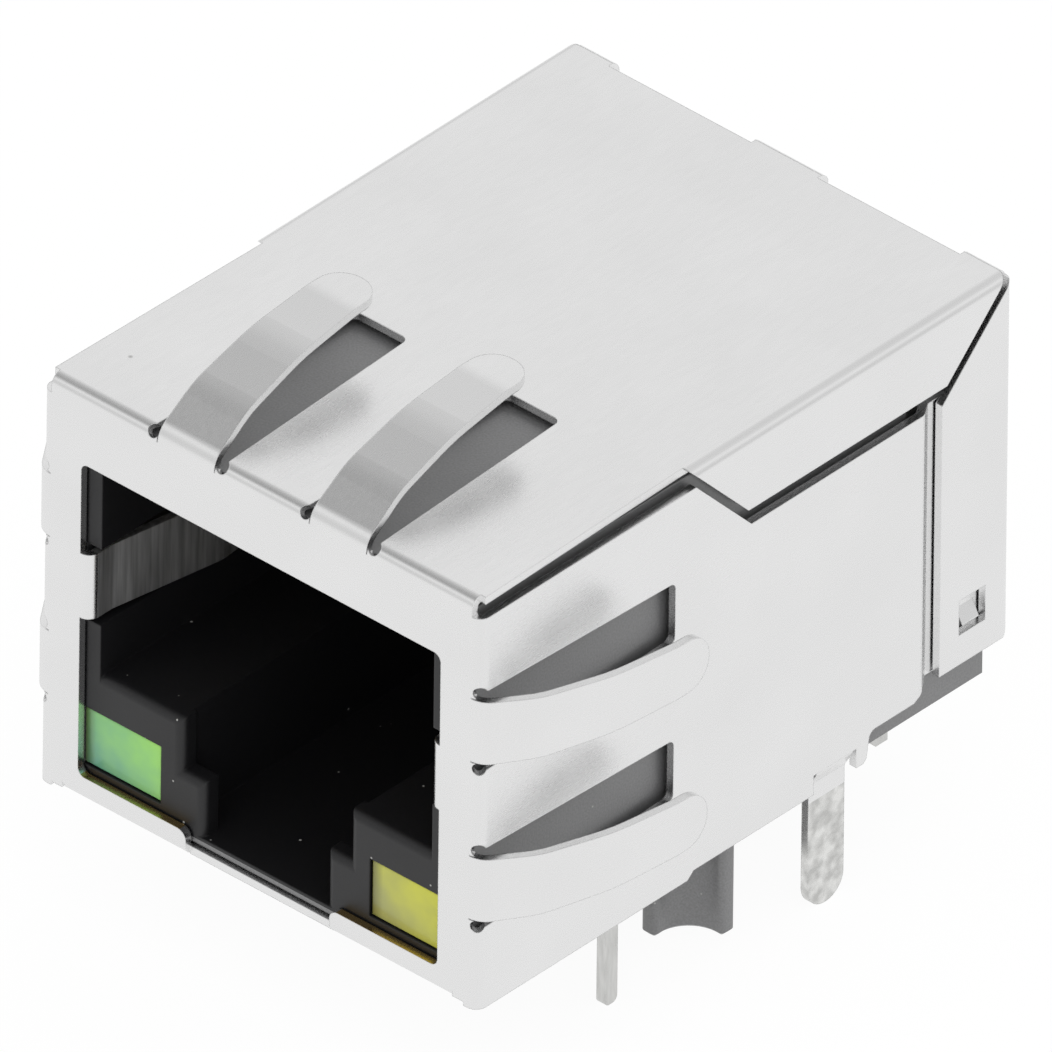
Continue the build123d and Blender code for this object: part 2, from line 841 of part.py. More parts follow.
pin_places = [
    ((i - (pin_count - 1) / 2) * pin_pitch, pin_first_row + (i % 2) * pin_row_pitch)
    for i in range(pin_count)
]

with BuildPart() as pin_base:
    with BuildSketch(plan_view.offset(housing_bottom)):
        with Locations((0, base_front)):
            Rectangle(2 * base_half_width, housing_rear - base_front,
                      align=(Align.CENTER, Align.MIN))
        with Locations(*pin_places):
            Rectangle(pin_side + 2 * pin_clearance, pin_side + 2 * pin_clearance,
                      mode=Mode.SUBTRACT)
    extrude(amount=base_top - housing_bottom)
    # Groove in which the filter board stands
    with BuildSketch(plan_view.offset(board_seat)):
        with Locations((0, board_front - base_clearance)):
            Rectangle(2 * base_half_width, board_thickness + 2 * base_clearance,
                      align=(Align.CENTER, Align.MIN))
    extrude(amount=base_top - board_seat, mode=Mode.SUBTRACT)
pin_base.part.label = "pin_base"


def signal_pin(place):
    """One square pin, pointed a little at its lower end."""
    with BuildPart() as pin:
        with BuildSketch(plan_view.offset(-pin_tip)):
            with Locations(place):
                Rectangle(pin_side, pin_side)
        extrude(amount=pin_tip + pin_head)
        chamfer(pin.faces().sort_by(Axis.Z)[0].edges(), pin_point)
    return pin.part


signal_pins = [signal_pin(place) for place in pin_places]


def lamp_body(side):
    """Moulded lamp: a flat nose in the window and a wider body in the room behind."""
    slack = 2 * lamp_clearance
    with BuildPart() as lamp:
        with BuildSketch(front_view.offset(-(housing_front + lamp_recess))):
            with Locations((side * lamp_centre, lamp_bottom + lamp_clearance)):
                Rectangle(lamp_outer - lamp_inner - slack, lamp_top - lamp_bottom - slack,
                          align=(Align.CENTER, Align.MIN))
        extrude(amount=-(lamp_nose_depth - housing_front))
        with BuildSketch(front_view.offset(-(lamp_nose_depth + lamp_clearance))):
            with Locations((side * lamp_body_centre, lamp_body_bottom + lamp_clearance)):
                Rectangle(lamp_body_width - slack, lamp_body_top - lamp_body_bottom - slack,
                          align=(Align.CENTER, Align.MIN))
        extrude(amount=-(lamp_rear - lamp_nose_depth - lamp_clearance))
        # Sockets in which the leads are held
        with BuildSketch(front_view.offset(-lamp_rear)):
            with Locations((side * lead_inner, lead_level),
                           (side * (lead_inner + lead_pitch), lead_level)):
                Rectangle(lead_width, lead_depth)
        extrude(amount=lead_grip, mode=Mode.SUBTRACT)
    return lamp.part


def lamp_lead(x):
    """One lead: back out of the lamp, then down through the board."""
    with BuildPart() as lead:
        with BuildSketch(side_view.offset(x)):
            add(strip(
                (lamp_rear - lead_grip, lead_level),
                (lead_place, lead_level),
                (lead_place, -lead_tip),
                radii=lead_bend,
                thickness=lead_depth,
            ))
        extrude(amount=lead_width / 2, both=True)
        tip = lead.faces().sort_by(Axis.Z)[0]
        fillet(tip.edges().filter_by(Axis.X), lead_tip_round)
    return lead.part


lamps = [(lamp_body(side), lamp_lead(side * lead_inner),
          lamp_lead(side * (lead_inner + lead_pitch))) for side in (-1, 1)]

core_places = [
    (side * core_offset, level)
    for side in (-1, 1)
    for level in (core_low, core_high)
]


def ring_core(place):
    """One ferrite ring, its axis along the depth."""
    with BuildPart() as core:
        with BuildSketch(front_view.offset(-core_front)):
            with Locations(place):
                Circle(core_radius)
                Circle(core_bore, mode=Mode.SUBTRACT)
        extrude(amount=-core_thickness)
    return core.part


def ring_winding(place):
    """Wire wound closely round most of a ring core, as one sleeve with a gap."""
    x, level = place
    centre = (x, front_y + core_front + core_thickness / 2, level)
    rib = core_radius - core_bore
    inside = 2 * winding_clearance
    outside = inside + 2 * winding_thickness
    with BuildPart() as winding:
        with BuildSketch(Plane(centre, x_dir=(1, 0, 0), z_dir=(0, 0, 1))):
            with Locations(((core_radius + core_bore) / 2, 0)):
                Rectangle(rib + outside, core_thickness + outside)
                Rectangle(rib + inside, core_thickness + inside, mode=Mode.SUBTRACT)
        revolve(axis=Axis(centre, (0, 1, 0)), revolution_arc=winding_sweep)
    return winding.part


def chip(x, level, length, breadth, rise):
    """One chip part on the board's front face."""
    with BuildPart() as block:
        with BuildSketch(front_view.offset(-board_front)):
            with Locations((x, level)):
                Rectangle(length, breadth)
        extrude(amount=rise)
        fillet(block.faces().sort_by(Axis.Y)[0].edges().filter_by(Axis.Z), chip_edge)
    return block.part


resistors = [
    chip((i - (resistor_count - 1) / 2) * resistor_pitch, resistor_level,
         resistor_width, resistor_length, resistor_height)
    for i in range(resistor_count)
]
capacitor = chip(0, capacitor_level, capacitor_length, capacitor_width, capacitor_height)

# Pieces that come in sets, by name
pieces = {"high_voltage_capacitor": capacitor}
pieces |= {f"contact_{i}": piece for i, piece in enumerate(contacts, 1)}
pieces |= {f"signal_pin_{i}": piece for i, piece in enumerate(signal_pins, 1)}
pieces |= {f"resistor_{i}": piece for i, piece in enumerate(resistors, 1)}
for colour, (body, inner_lead, outer_lead) in zip(("green", "yellow"), lamps):
    pieces[f"{colour}_lamp"] = body
    pieces[f"{colour}_lamp_inner_lead"] = inner_lead
    pieces[f"{colour}_lamp_outer_lead"] = outer_lead
core_names = ("transformer_1", "choke_1", "transformer_2", "choke_2")
for name, place in zip(core_names, core_places):
    pieces[f"{name}_core"] = ring_core(place)
    pieces[f"{name}_winding"] = ring_winding(place)

os.makedirs("parts", exist_ok=True)
export_step(shield.part, "parts/shield.step")
export_step(housing.part, "parts/housing.step")
export_step(contact_carrier.part, "parts/contact_carrier.step")
export_step(filter_board.part, "parts/filter_board.step")
export_step(pin_base.part, "parts/pin_base.step")
for name, piece in pieces.items():
    piece.label = name
    export_step(piece, f"parts/{name}.step")
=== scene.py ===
import math

import bmesh
import bpy
from bpy.props import FloatProperty, FloatVectorProperty, IntProperty, PointerProperty
from bpy.types import Operator, Panel, PropertyGroup
from mathutils import Matrix, Vector


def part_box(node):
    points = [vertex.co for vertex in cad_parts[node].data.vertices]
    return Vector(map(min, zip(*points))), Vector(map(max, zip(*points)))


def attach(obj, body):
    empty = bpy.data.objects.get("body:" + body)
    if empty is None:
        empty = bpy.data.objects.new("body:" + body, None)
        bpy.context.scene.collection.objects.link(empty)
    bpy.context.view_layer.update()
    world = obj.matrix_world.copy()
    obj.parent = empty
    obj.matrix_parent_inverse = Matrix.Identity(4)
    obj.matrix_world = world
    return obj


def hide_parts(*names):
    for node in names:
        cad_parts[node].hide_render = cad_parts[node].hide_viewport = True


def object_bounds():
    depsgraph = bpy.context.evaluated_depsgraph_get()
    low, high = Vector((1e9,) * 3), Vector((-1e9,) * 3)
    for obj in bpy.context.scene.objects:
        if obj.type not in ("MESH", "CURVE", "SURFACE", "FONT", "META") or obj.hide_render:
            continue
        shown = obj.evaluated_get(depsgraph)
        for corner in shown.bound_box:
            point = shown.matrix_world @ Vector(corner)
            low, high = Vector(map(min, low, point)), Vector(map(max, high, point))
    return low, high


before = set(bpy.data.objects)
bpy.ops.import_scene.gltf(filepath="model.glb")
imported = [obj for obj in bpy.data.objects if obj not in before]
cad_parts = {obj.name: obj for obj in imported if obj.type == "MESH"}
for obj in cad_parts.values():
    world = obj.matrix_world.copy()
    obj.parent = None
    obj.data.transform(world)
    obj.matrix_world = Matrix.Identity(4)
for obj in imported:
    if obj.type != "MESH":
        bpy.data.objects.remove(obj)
cad_low, cad_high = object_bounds()

bl_info = {
    "name": "Shielded network jack",
    "version": (1, 0, 0),
    "blender": (4, 5, 0),
    "location": "3D View > Sidebar > Jack",
    "description": "Finishes, small pieces, light and camera for a shielded board jack",
    "category": "Object",
}

# Lengths are in metres, as the frame's are
MM = 0.001
# Both lamps, with the side of the port on which each sits
SIDES = {"green_lamp": -1, "yellow_lamp": 1}
RINGS = ("transformer_1", "choke_1", "transformer_2", "choke_2")
CHIPS = ("resistor_1", "resistor_2", "resistor_3", "resistor_4", "high_voltage_capacitor")
CONTACTS = tuple(f"contact_{i}" for i in range(1, 9))
SIGNAL_PINS = tuple(f"signal_pin_{i}" for i in range(1, 9))
LAMP_LEADS = tuple(f"{lamp}_{end}_lead" for lamp in SIDES for end in ("inner", "outer"))


def linear(code):
    """Linear colour with full alpha from an sRGB hex code."""
    parts = [int(code[i:i + 2], 16) / 255 for i in (0, 2, 4)]
    return tuple(
        p / 12.92 if p <= 0.04045 else ((p + 0.055) / 1.055) ** 2.4 for p in parts
    ) + (1.0,)


def per_mm(size):
    """Texture scale for a pattern whose features are this many millimetres across."""
    return 1 / (size * MM)


class StageSettings(PropertyGroup):
    """Camera, floor and light."""
    azimuth: FloatProperty(
        name="Azimuth", description="How far the camera stands to the right of the port",
        default=math.radians(41.96), subtype="ANGLE")
    elevation: FloatProperty(
        name="Elevation", description="How far the camera looks down",
        default=math.radians(35.37), subtype="ANGLE")
    roll: FloatProperty(
        name="Roll", description="Turn of the camera about its own axis",
        default=math.radians(0.68), subtype="ANGLE")
    view_width: FloatProperty(
        name="View width", description="Width that the camera sees",
        default=28.106 * MM, unit="LENGTH")
    aim_right: FloatProperty(
        name="Aim right", description="Picture's middle, to the right of the board datum",
        default=-0.087 * MM, unit="LENGTH")
    aim_up: FloatProperty(
        name="Aim up", description="Picture's middle, above the board datum",
        default=5.3 * MM, unit="LENGTH")
    camera_distance: FloatProperty(
        name="Camera distance", description="From the board datum to the camera",
        default=200 * MM, unit="LENGTH")
    floor_side: FloatProperty(
        name="Floor side", description="Side of the square floor",
        default=4000 * MM, unit="LENGTH")
    floor_colour: FloatVectorProperty(
        name="Floor colour", description="Colour of the floor",
        default=linear("E6E6E6"), size=4, subtype="COLOR")
    floor_glow: FloatProperty(
        name="Floor glow", description="Share of plain white in the floor as it is seen",
        default=0.92)
    floor_shown: FloatProperty(
        name="Floor shown", description="Brightness of that white to the camera",
        default=1.03)
    floor_mirrored: FloatProperty(
        name="Floor mirrored", description="Brightness of that white in reflections",
        default=0.87)
    sky_colour: FloatVectorProperty(
        name="Sky colour", description="Colour of the light that comes from all round",
        default=linear("FFFFFF"), size=4, subtype="COLOR")
    sky_strength: FloatProperty(
        name="Sky strength", description="Light from all round", default=0.62)
    studio_low: FloatProperty(
        name="Studio low", description="Brightness near the floor, in reflections",
        default=0.82)
    studio_middle: FloatProperty(
        name="Studio middle", description="Brightness at half height, in reflections",
        default=1.11)
    shade_front: FloatProperty(
        name="Shade in front", description="How much darker it is high up in front",
        default=0.76)
    shade_rear: FloatProperty(
        name="Shade at the rear", description="How much darker it is high up at the rear",
        default=0.22)
    light_distance: FloatProperty(
        name="Light distance", description="From the board datum to each light",
        default=300 * MM, unit="LENGTH")
    key_direction: FloatVectorProperty(
        name="Key direction", description="Where the key light hangs",
        default=(0.55, -0.6, 0.75), subtype="DIRECTION")
    key_power: FloatProperty(
        name="Key power", description="Soft light from the upper right", default=0.26,
        unit="POWER")
    fill_direction: FloatVectorProperty(
        name="Fill direction", description="Where the fill light hangs",
        default=(0.1, 0.2, 1), subtype="DIRECTION")
    fill_power: FloatProperty(
        name="Fill power", description="Soft light from nearly straight above", default=0.16,
        unit="POWER")


class ShieldSettings(PropertyGroup):
    """Finish of the shield."""
    plate_light: FloatVectorProperty(
        name="Light plating", description="Lighter colour of the plating",
        default=linear("F8F8F8"), size=4, subtype="COLOR")
    plate_dark: FloatVectorProperty(
        name="Dark plating", description="Darker colour of the plating",
        default=linear("F0F0F0"), size=4, subtype="COLOR")
    speck_colour: FloatVectorProperty(
        name="Specks", description="Colour of the dust specks and nicks",
        default=linear("6E6E6C"), size=4, subtype="COLOR")
    # Painted shade on the springs in the port: the plating colour there is darker, in streaks
    spring_shade_light: FloatVectorProperty(
        name="Light scuffs", description="Lighter colour of the scuffed springs",
        default=linear("F4F4F4"), size=4, subtype="COLOR")
    spring_shade_dark: FloatVectorProperty(
        name="Dark scuffs", description="Darker colour of the scuffed springs",
        default=linear("7C7C7C"), size=4, subtype="COLOR")
    tin_light: FloatVectorProperty(
        name="Light tin", description="Lighter colour of the tinned tabs",
        default=linear("F2F2F0"), size=4, subtype="COLOR")
    tin_dark: FloatVectorProperty(
        name="Dark tin", description="Darker colour of the tinned tabs",
        default=linear("CACAC8"), size=4, subtype="COLOR")
    bare_bronze: FloatVectorProperty(
        name="Bare bronze", description="Colour of the sheet where its cut edge is bare",
        default=linear("E8C888"), size=4, subtype="COLOR")
    roughness: FloatProperty(
        name="Roughness", description="Mean roughness of the plating", default=0.27)
    worn_roughness: FloatProperty(
        name="Worn roughness", description="Roughness of the springs inside the port",
        default=0.58)
    edge_round: FloatProperty(
        name="Edge rounding", description="Rounding of the sheet's cut edges",
        default=0.05 * MM, unit="LENGTH")
    spring_low: FloatVectorProperty(
        name="Springs from", description="Lower front corner of the room of both springs",
        default=(-6.4 * MM, -10.5 * MM, 5.9 * MM), subtype="XYZ", unit="LENGTH")
    spring_high: FloatVectorProperty(
        name="Springs to", description="Upper rear corner of the room of both springs",
        default=(6.4 * MM, -3 * MM, 8.1 * MM), subtype="XYZ", unit="LENGTH")
    sill_low: FloatVectorProperty(
        name="Sill from", description="Lower front corner of the sill's cut edge",
        default=(-6.5 * MM, -10.79 * MM, 0.79 * MM), subtype="XYZ", unit="LENGTH")
    sill_high: FloatVectorProperty(
        name="Sill to", description="Upper rear corner of the sill's cut edge",
        default=(6.5 * MM, -10.4 * MM, 0.85 * MM), subtype="XYZ", unit="LENGTH")
    tab_low: FloatVectorProperty(
        name="Tabs from", description="Lower front corner of the room of both solder tabs",
        default=(-9 * MM, 2 * MM, -4 * MM), subtype="XYZ", unit="LENGTH")
    tab_high: FloatVectorProperty(
        name="Tabs to", description="Upper rear corner of the room of both solder tabs",
        default=(9 * MM, 5 * MM, -0.3 * MM), subtype="XYZ", unit="LENGTH")


class PlasticSettings(PropertyGroup):
    """Finish of the moulded parts."""
    housing_colour: FloatVectorProperty(
        name="Housing colour", description="Colour of the housing",
        default=linear("747475"), size=4, subtype="COLOR")
    carrier_colour: FloatVectorProperty(
        name="Carrier colour", description="Colour of the contact carrier and pin base",
        default=linear("6C6C6D"), size=4, subtype="COLOR")
    # Painted shade: a near black colour put on the moulded parts inside the port, where shade
    # falls
    port_shade_colour: FloatVectorProperty(
        name="Port colour", description="Colour where the mould's core was polished",
        default=linear("18181A"), size=4, subtype="COLOR")
    dust_colour: FloatVectorProperty(
        name="Dust", description="Colour of the grains of moulding dust",
        default=linear("C8C8C4"), size=4, subtype="COLOR")
    # Corners of the box that gets the painted shade of the port
    port_shade_low: FloatVectorProperty(
        name="Port from", description="Lower front corner of the polished port",
        default=(-6.6 * MM, -10.6 * MM, 0.5 * MM), subtype="XYZ", unit="LENGTH")
    port_shade_high: FloatVectorProperty(
        name="Port to", description="Upper rear corner of the polished port",
        default=(6.6 * MM, 0.7 * MM, 11.5 * MM), subtype="XYZ", unit="LENGTH")
    edge_round: FloatProperty(
        name="Edge rounding", description="Rounding of moulded edges",
        default=0.08 * MM, unit="LENGTH")


class LampSettings(PropertyGroup):
    """Sizes and colours of the lamps."""
    green_pale: FloatVectorProperty(
        name="Pale green", description="Green lamp's resin at its upper right",
        default=linear("AAEE6E"), size=4, subtype="COLOR")
    green_deep: FloatVectorProperty(
        name="Deep green", description="Green lamp's resin at its lower left",
        default=linear("66B098"), size=4, subtype="COLOR")
    yellow_pale: FloatVectorProperty(
        name="Pale yellow", description="Yellow lamp's resin at its upper right",
        default=linear("E6E73A"), size=4, subtype="COLOR")
    yellow_deep: FloatVectorProperty(
        name="Deep yellow", description="Yellow lamp's resin at its lower left",
        default=linear("A9AB66"), size=4, subtype="COLOR")
    shade_colour: FloatVectorProperty(
        name="Shade", description="Resin's colour along its left side",
        default=linear("5C5A1C"), size=4, subtype="COLOR")
    edge_round: FloatProperty(
        name="Edge rounding", description="Rounding of the lamp's moulded edges",
        default=0.05 * MM, unit="LENGTH")
    shade_width: FloatProperty(
        name="Shade width", description="Width of the shaded strip at the resin's left side",
        default=0.4 * MM, unit="LENGTH")
    nose_length: FloatProperty(
        name="Nose length", description="Length of the nose in the window",
        default=1.3 * MM, unit="LENGTH")
    inner_step: FloatProperty(
        name="Inner step", description="From the body's inner side to the nose",
        default=0.15 * MM, unit="LENGTH")
    outer_step: FloatProperty(
        name="Outer step", description="From the body's outer side to the nose",
        default=0.4 * MM, unit="LENGTH")
    lower_step: FloatProperty(
        name="Lower step", description="From the body's underside to the nose",
        default=0.4 * MM, unit="LENGTH")
    upper_step: FloatProperty(
        name="Upper step", description="From the nose to the body's top",
        default=0.22 * MM, unit="LENGTH")


class WindingSettings(PropertyGroup):
    """Wire on the ring cores."""
    wire: FloatProperty(
        name="Wire", description="Diameter of the enamelled wire",
        default=0.17 * MM, unit="LENGTH")
    turns: IntProperty(name="Turns", description="Turns on one ring", default=22)
    sweep: FloatProperty(
        name="Sweep", description="Share of the ring that is wound",
        default=math.radians(300), subtype="ANGLE")
    play: FloatProperty(
        name="Play", description="Gap between the ring and the wire",
        default=0.02 * MM, unit="LENGTH")


class SolderSettings(PropertyGroup):
    """Solder and plated ends of the filter parts."""
    joint_radius: FloatProperty(
        name="Joint radius", description="Foot of a solder joint",
        default=0.42 * MM, unit="LENGTH")
    joint_height: FloatProperty(
        name="Joint height", description="Height of a solder joint",
        default=0.36 * MM, unit="LENGTH")
    cap_length: FloatProperty(
        name="Cap length", description="Length of a chip's plated end",
        default=0.35 * MM, unit="LENGTH")
    cap_thickness: FloatProperty(
        name="Cap thickness", description="Thickness of a chip's plated end",
        default=0.03 * MM, unit="LENGTH")


# Materials
#
# A Mix node takes its share at input 0, two numbers at 2 and 3 or two colours at 6 and 7,
# and gives a number at output 0 or a colour at output 2


def add_node(tree, kind, inputs=None, **settings):
    """Adds one node, with its settings and with its inputs set or linked."""
    made = tree.nodes.new(kind)
    for name, value in settings.items():
        setattr(made, name, value)
    for key, value in (inputs or {}).items():
        if isinstance(value, bpy.types.NodeSocket):
            tree.links.new(value, made.inputs[key])
        else:
            made.inputs[key].default_value = value
    return made


def start_material(name):
    """Empty material, its tree and the place on the object."""
    material = bpy.data.materials.new(name)
    material.use_nodes = True
    tree = material.node_tree
    tree.nodes.clear()
    return material, tree, add_node(tree, "ShaderNodeTexCoord").outputs["Object"]


def close_material(tree, inputs):
    """Ends a material with its shader."""
    shader = add_node(tree, "ShaderNodeBsdfPrincipled", inputs)
    add_node(tree, "ShaderNodeOutputMaterial", {"Surface": shader.outputs[0]})


def inside_box(tree, place, low, high):
    """One inside the box between two corners, nought outside it."""
    low, high = Vector(low), Vector(high)
    offset = add_node(tree, "ShaderNodeVectorMath", {
        0: place, 1: (low + high) / 2}, operation="SUBTRACT")
    share = add_node(tree, "ShaderNodeVectorMath", {
        0: offset.outputs[0], 1: (high - low) / 2}, operation="DIVIDE")
    size = add_node(tree, "ShaderNodeVectorMath", {0: share.outputs[0]}, operation="ABSOLUTE")
    parts = add_node(tree, "ShaderNodeSeparateXYZ", {"Vector": size.outputs[0]}).outputs
    flat = add_node(tree, "ShaderNodeMath", {0: parts[0], 1: parts[1]}, operation="MAXIMUM")
    most = add_node(tree, "ShaderNodeMath", {
        0: flat.outputs[0], 1: parts[2]}, operation="MAXIMUM")
    return add_node(tree, "ShaderNodeMath", {
        0: most.outputs[0], 1: 1.0}, operation="LESS_THAN").outputs[0]


def bright_nickel_plate(settings):
    """Nickel plated on rolled bronze: bright, with soft reflections and a faint grain."""
    material, tree, place = start_material("bright_nickel_plate")
    # Rolling leaves streaks about 0.1 mm wide, drawn out along the depth
    along = add_node(tree, "ShaderNodeMapping", {"Vector": place, "Scale": (1, 0.15, 1)})
    streaks = add_node(tree, "ShaderNodeTexNoise", {
        "Vector": along.outputs[0], "Scale": per_mm(0.1), "Detail": 4.0})
    # The plating is a little thicker in places some millimetres wide
    clouds = add_node(tree, "ShaderNodeTexNoise", {
        "Vector": place, "Scale": per_mm(3.5), "Detail": 3.0})
    tone = add_node(tree, "ShaderNodeMix", {
        0: clouds.outputs[0], 6: settings.plate_dark, 7: settings.plate_light},
        data_type="RGBA")
    # A few specks of dust and small nicks, about 0.15 mm across
    spots = add_node(tree, "ShaderNodeTexVoronoi", {"Vector": place, "Scale": per_mm(4.2)})
    speck = add_node(tree, "ShaderNodeMapRange", {
        "Value": spots.outputs["Distance"], "From Min": 0.012, "From Max": 0.024,
        "To Min": 0.55, "To Max": 0.0})
    specked = add_node(tree, "ShaderNodeMix", {
        0: speck.outputs[0], 6: tone.outputs[2], 7: settings.speck_colour},
        data_type="RGBA")
    # The springs in the port get painted shade, in upright streaks about 0.15 mm wide
    spring = inside_box(tree, place, settings.spring_low, settings.spring_high)
    upright = add_node(tree, "ShaderNodeMapping", {"Vector": place, "Scale": (1, 1, 0.06)})
    shade_streaks = add_node(tree, "ShaderNodeTexNoise", {
        "Vector": upright.outputs[0], "Scale": per_mm(0.15), "Detail": 3.0})
    shade_streaked = add_node(tree, "ShaderNodeMix", {
        0: shade_streaks.outputs[0], 6: settings.spring_shade_dark, 7: settings.spring_shade_light},
        data_type="RGBA")
    with_shaded_springs = add_node(tree, "ShaderNodeMix", {
        0: spring, 6: specked.outputs[2], 7: shade_streaked.outputs[2]}, data_type="RGBA")
    # The solder tabs are tinned over the nickel, duller, with smears about 0.4 mm across
    tab = inside_box(tree, place, settings.tab_low, settings.tab_high)
    smears = add_node(tree, "ShaderNodeTexNoise", {
        "Vector": place, "Scale": per_mm(0.4), "Detail": 5.0})
    smeared = add_node(tree, "ShaderNodeMapRange", {
        "Value": smears.outputs[0], "From Min": 0.35, "From Max": 0.65})
    tinned = add_node(tree, "ShaderNodeMix", {
        0: smeared.outputs[0], 6: settings.tin_dark, 7: settings.tin_light},
        data_type="RGBA")
    plated = add_node(tree, "ShaderNodeMix", {
        0: tab, 6: with_shaded_springs.outputs[2], 7: tinned.outputs[2]}, data_type="RGBA")
    # The sill was cut after plating, so that the bronze shows under the lamps
    sill = inside_box(tree, place, settings.sill_low, settings.sill_high)
    cut = add_node(tree, "ShaderNodeMix", {
        0: sill, 6: plated.outputs[2], 7: settings.bare_bronze}, data_type="RGBA")
    grain_spread = add_node(tree, "ShaderNodeMapRange", {
        "Value": streaks.outputs[0],
        "To Min": settings.roughness - 0.05, "To Max": settings.roughness + 0.05})
    spread = add_node(tree, "ShaderNodeMix", {
        0: spring, 2: grain_spread.outputs[0], 3: settings.worn_roughness})
    edge = add_node(tree, "ShaderNodeBevel", {"Radius": settings.edge_round}, samples=6)
    grain = add_node(tree, "ShaderNodeBump", {
        "Strength": 0.05, "Distance": 0.004 * MM, "Height": streaks.outputs[0],
        "Normal": edge.outputs[0]})
    close_material(tree, {
        "Base Color": cut.outputs[2], "Metallic": 1.0, "Roughness": spread.outputs[0],
        "Normal": grain.outputs[0]})
    return material


def moulded_nylon(name, colour, settings):
    """Glass-filled nylon, moulded: grey, with painted shade that makes it near black in the
    port.
    """
    material, tree, place = start_material(name)
    # Painted shade: inside the port the colour turns near black
    port = inside_box(tree, place, settings.port_shade_low, settings.port_shade_high)
    moulded = add_node(tree, "ShaderNodeMix", {
        0: port, 6: colour, 7: settings.port_shade_colour}, data_type="RGBA")
    # The fibres show as specks about 0.06 mm across
    fibres = add_node(tree, "ShaderNodeTexNoise", {
        "Vector": place, "Scale": per_mm(0.06), "Detail": 3.0})
    flow = add_node(tree, "ShaderNodeTexNoise", {
        "Vector": place, "Scale": per_mm(1.6), "Detail": 2.0})
    shade = add_node(tree, "ShaderNodeMapRange", {
        "Value": fibres.outputs[0], "From Min": 0.3, "From Max": 0.7,
        "To Min": 0.8, "To Max": 1.2})
    speckled = add_node(tree, "ShaderNodeMix", {
        0: 1.0, 6: moulded.outputs[2], 7: shade.outputs[0]},
        data_type="RGBA", blend_type="MULTIPLY")
    # Pale moulding dust, in grains about 0.07 mm across
    dust = add_node(tree, "ShaderNodeTexVoronoi", {"Vector": place, "Scale": per_mm(0.8)})
    grains = add_node(tree, "ShaderNodeMapRange", {
        "Value": dust.outputs["Distance"], "From Min": 0.035, "From Max": 0.055,
        "To Min": 0.85, "To Max": 0.0})
    dusty = add_node(tree, "ShaderNodeMix", {
        0: grains.outputs[0], 6: speckled.outputs[2], 7: settings.dust_colour},
        data_type="RGBA")
    spread = add_node(tree, "ShaderNodeMapRange", {
        "Value": flow.outputs[0], "To Min": 0.4, "To Max": 0.54})
    edge = add_node(tree, "ShaderNodeBevel", {"Radius": settings.edge_round}, samples=6)
    pits = add_node(tree, "ShaderNodeBump", {
        "Strength": 0.25, "Distance": 0.01 * MM, "Height": fibres.outputs[0],
        "Normal": edge.outputs[0]})
    # A resin-rich skin gives a sheen outside; in the port the sheen and coat are turned down,
    # as painted shade
    specular_with_port_shade = add_node(tree, "ShaderNodeMapRange", {"Value": port, "To Min": 1.0, "To Max": 0.4})
    skin = add_node(tree, "ShaderNodeMapRange", {"Value": port, "To Min": 0.6, "To Max": 0.1})
    close_material(tree, {
        "Base Color": dusty.outputs[2], "Roughness": spread.outputs[0], "IOR": 1.58,
        "Specular IOR Level": specular_with_port_shade.outputs[0], "Coat Weight": skin.outputs[0],
        "Coat Roughness": 0.45, "Normal": pits.outputs[0]})
    return material


def thin_metal(name, dark, light, roughness, streak):
    """Thin plated metal: its plating is mottled, with streaks of the given width in mm."""
    material, tree, place = start_material(name)
    # The streaks stand upright and are about five times as long as they are wide
    along = add_node(tree, "ShaderNodeMapping", {"Vector": place, "Scale": (1, 1, 0.2)})
    marks = add_node(tree, "ShaderNodeTexNoise", {
        "Vector": along.outputs[0], "Scale": per_mm(streak), "Detail": 4.0})
    tone = add_node(tree, "ShaderNodeMix", {
        0: marks.outputs[0], 6: dark, 7: light}, data_type="RGBA")
    spread = add_node(tree, "ShaderNodeMapRange", {
        "Value": marks.outputs[0], "To Min": roughness - 0.08, "To Max": roughness + 0.08})
    edge = add_node(tree, "ShaderNodeBevel", {"Radius": 0.04 * MM}, samples=4)
    ripples = add_node(tree, "ShaderNodeBump", {
        "Strength": 0.2, "Distance": 0.006 * MM, "Height": marks.outputs[0],
        "Normal": edge.outputs[0]})
    close_material(tree, {
        "Base Color": tone.outputs[2], "Metallic": 1.0, "Roughness": spread.outputs[0],
        "Normal": ripples.outputs[0]})
    return material


def gold_over_nickel():
    """Selective gold on spring bronze: pale, smooth, with fine wiping marks."""
    return thin_metal("gold_over_nickel", linear("C9A24A"), linear("E3C878"), 0.24, 0.08)


def dipped_tin():
    """Tin dipped on brass: light, a little milky, with drawn-out ripples."""
    return thin_metal("dipped_tin", linear("BEBEBC"), linear("F0F0EE"), 0.3, 0.16)


def reflowed_solder():
    """Solder as it set: bright and softly wrinkled."""
    return thin_metal("reflowed_solder", linear("C2C2BE"), linear("E0E0DC"), 0.22, 0.1)


